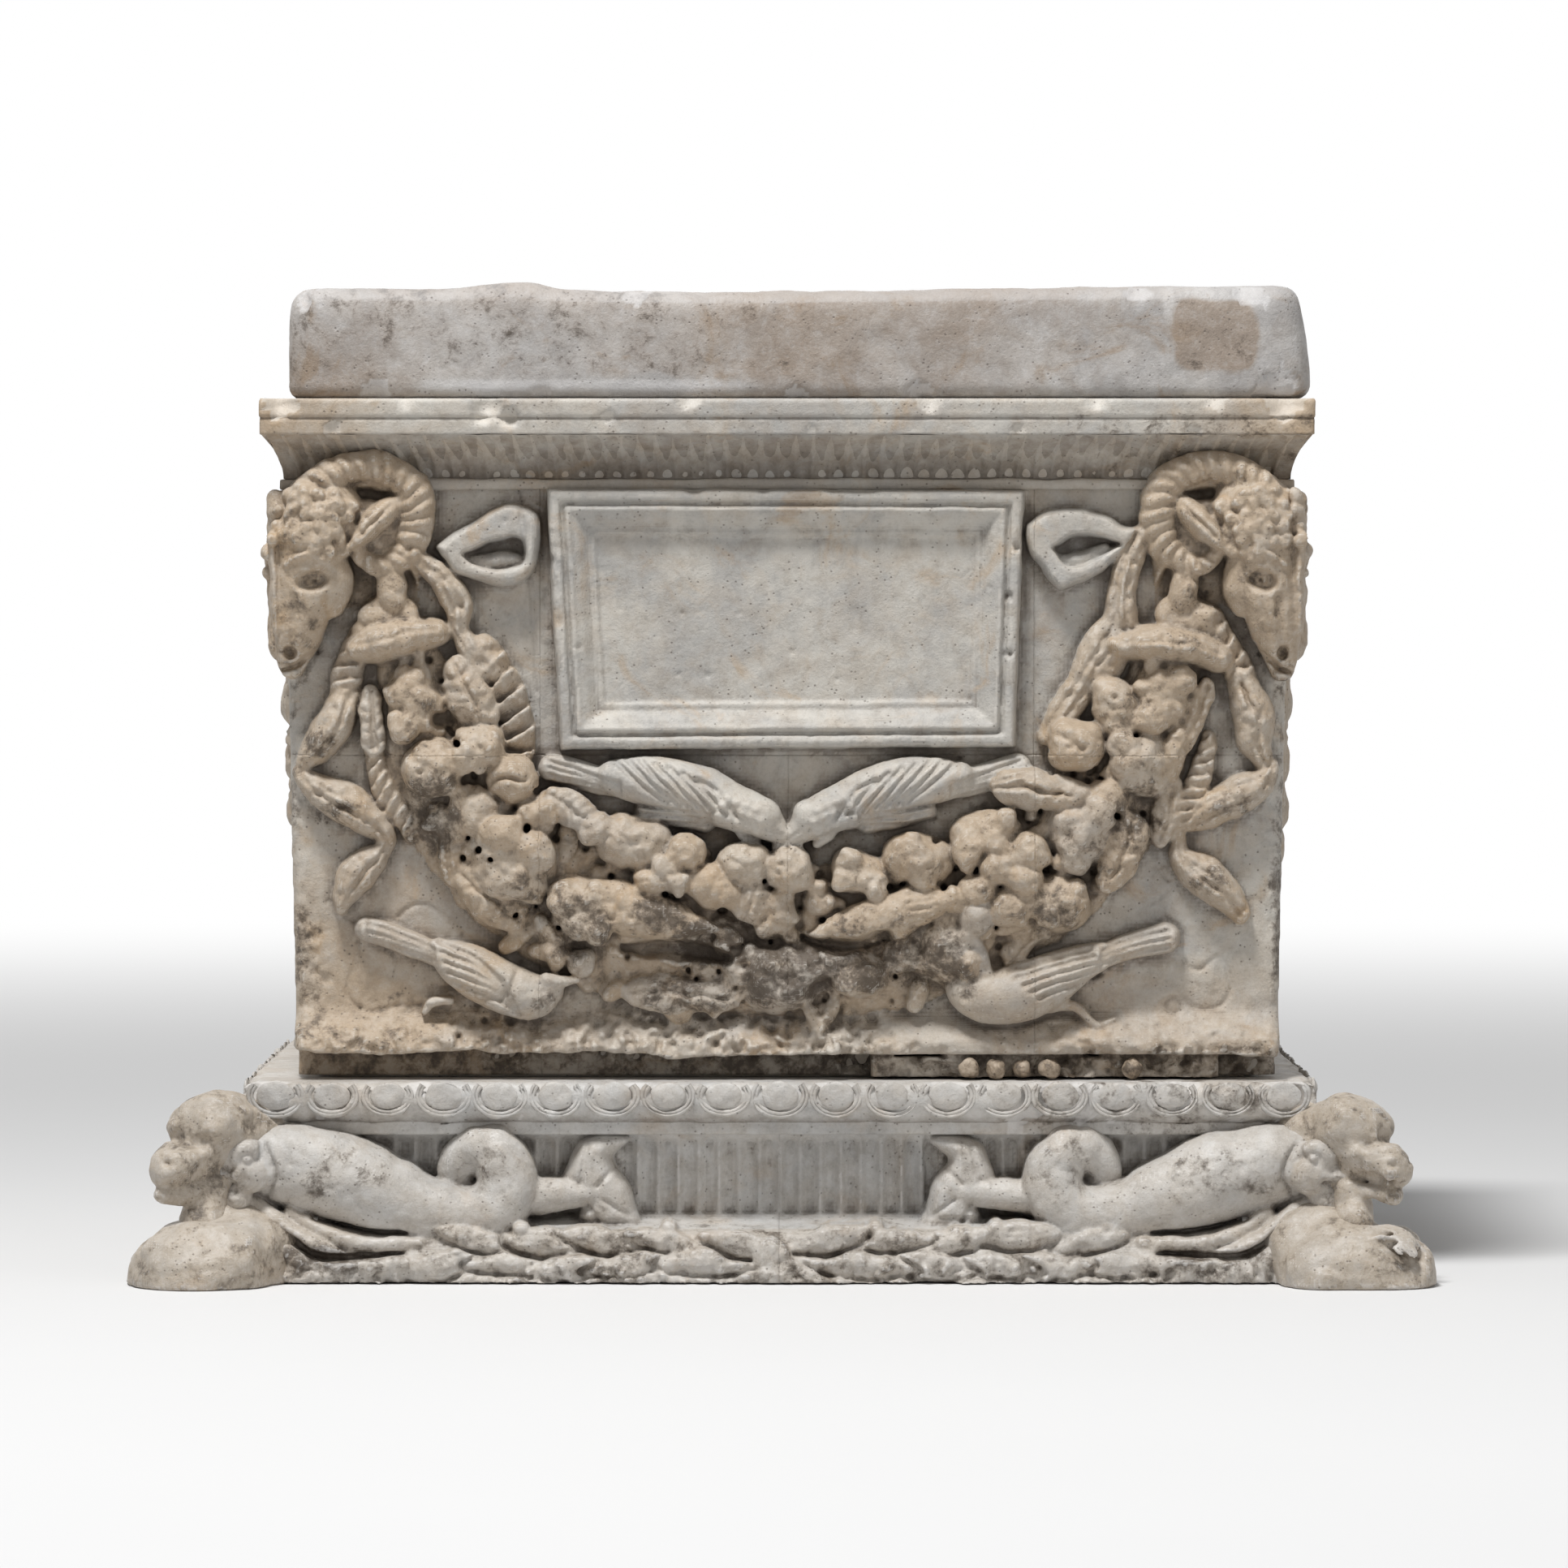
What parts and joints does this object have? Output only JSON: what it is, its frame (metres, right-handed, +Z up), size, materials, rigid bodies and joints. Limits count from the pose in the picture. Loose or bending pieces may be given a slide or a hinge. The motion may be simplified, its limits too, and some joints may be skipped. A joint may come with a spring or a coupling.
{
  "type": "cinerary urn",
  "caption": "Rectangular marble ash chest with a slab lid and a wider carved base, its front carved with a fruit garland hung between rams' heads under a bare framed panel.",
  "frame": {"origin": "centre of the rectangle that the base covers, on its underside", "axes": "+X to the right along the carved front, which faces -Y; +Z up"},
  "size_m": [0.54, 0.42, 0.4171],
  "materials": {
    "base_marble": "white crystalline marble with a warm grey patina, worn matt",
    "chest_marble": "aged marble with tan and ochre patina and soil in the hollows, matt",
    "lid_marble": "smooth worn marble with mauve-grey and brown stains, matt"
  },
  "bodies": {
    "base": {"base": "base_marble"},
    "chest": {"chest": "chest_marble"},
    "lid": {"lid": "lid_marble"}
  },
  "joints": [
    {"name": "chest_lift", "type": "slide", "parent": "base", "child": "chest", "axis": [0, 0, 1], "range_m": [0, 0.1]},
    {"name": "lid_lift", "type": "slide", "parent": "chest", "child": "lid", "axis": [0, 0, 1], "range_m": [0, 0.25]}
  ]
}
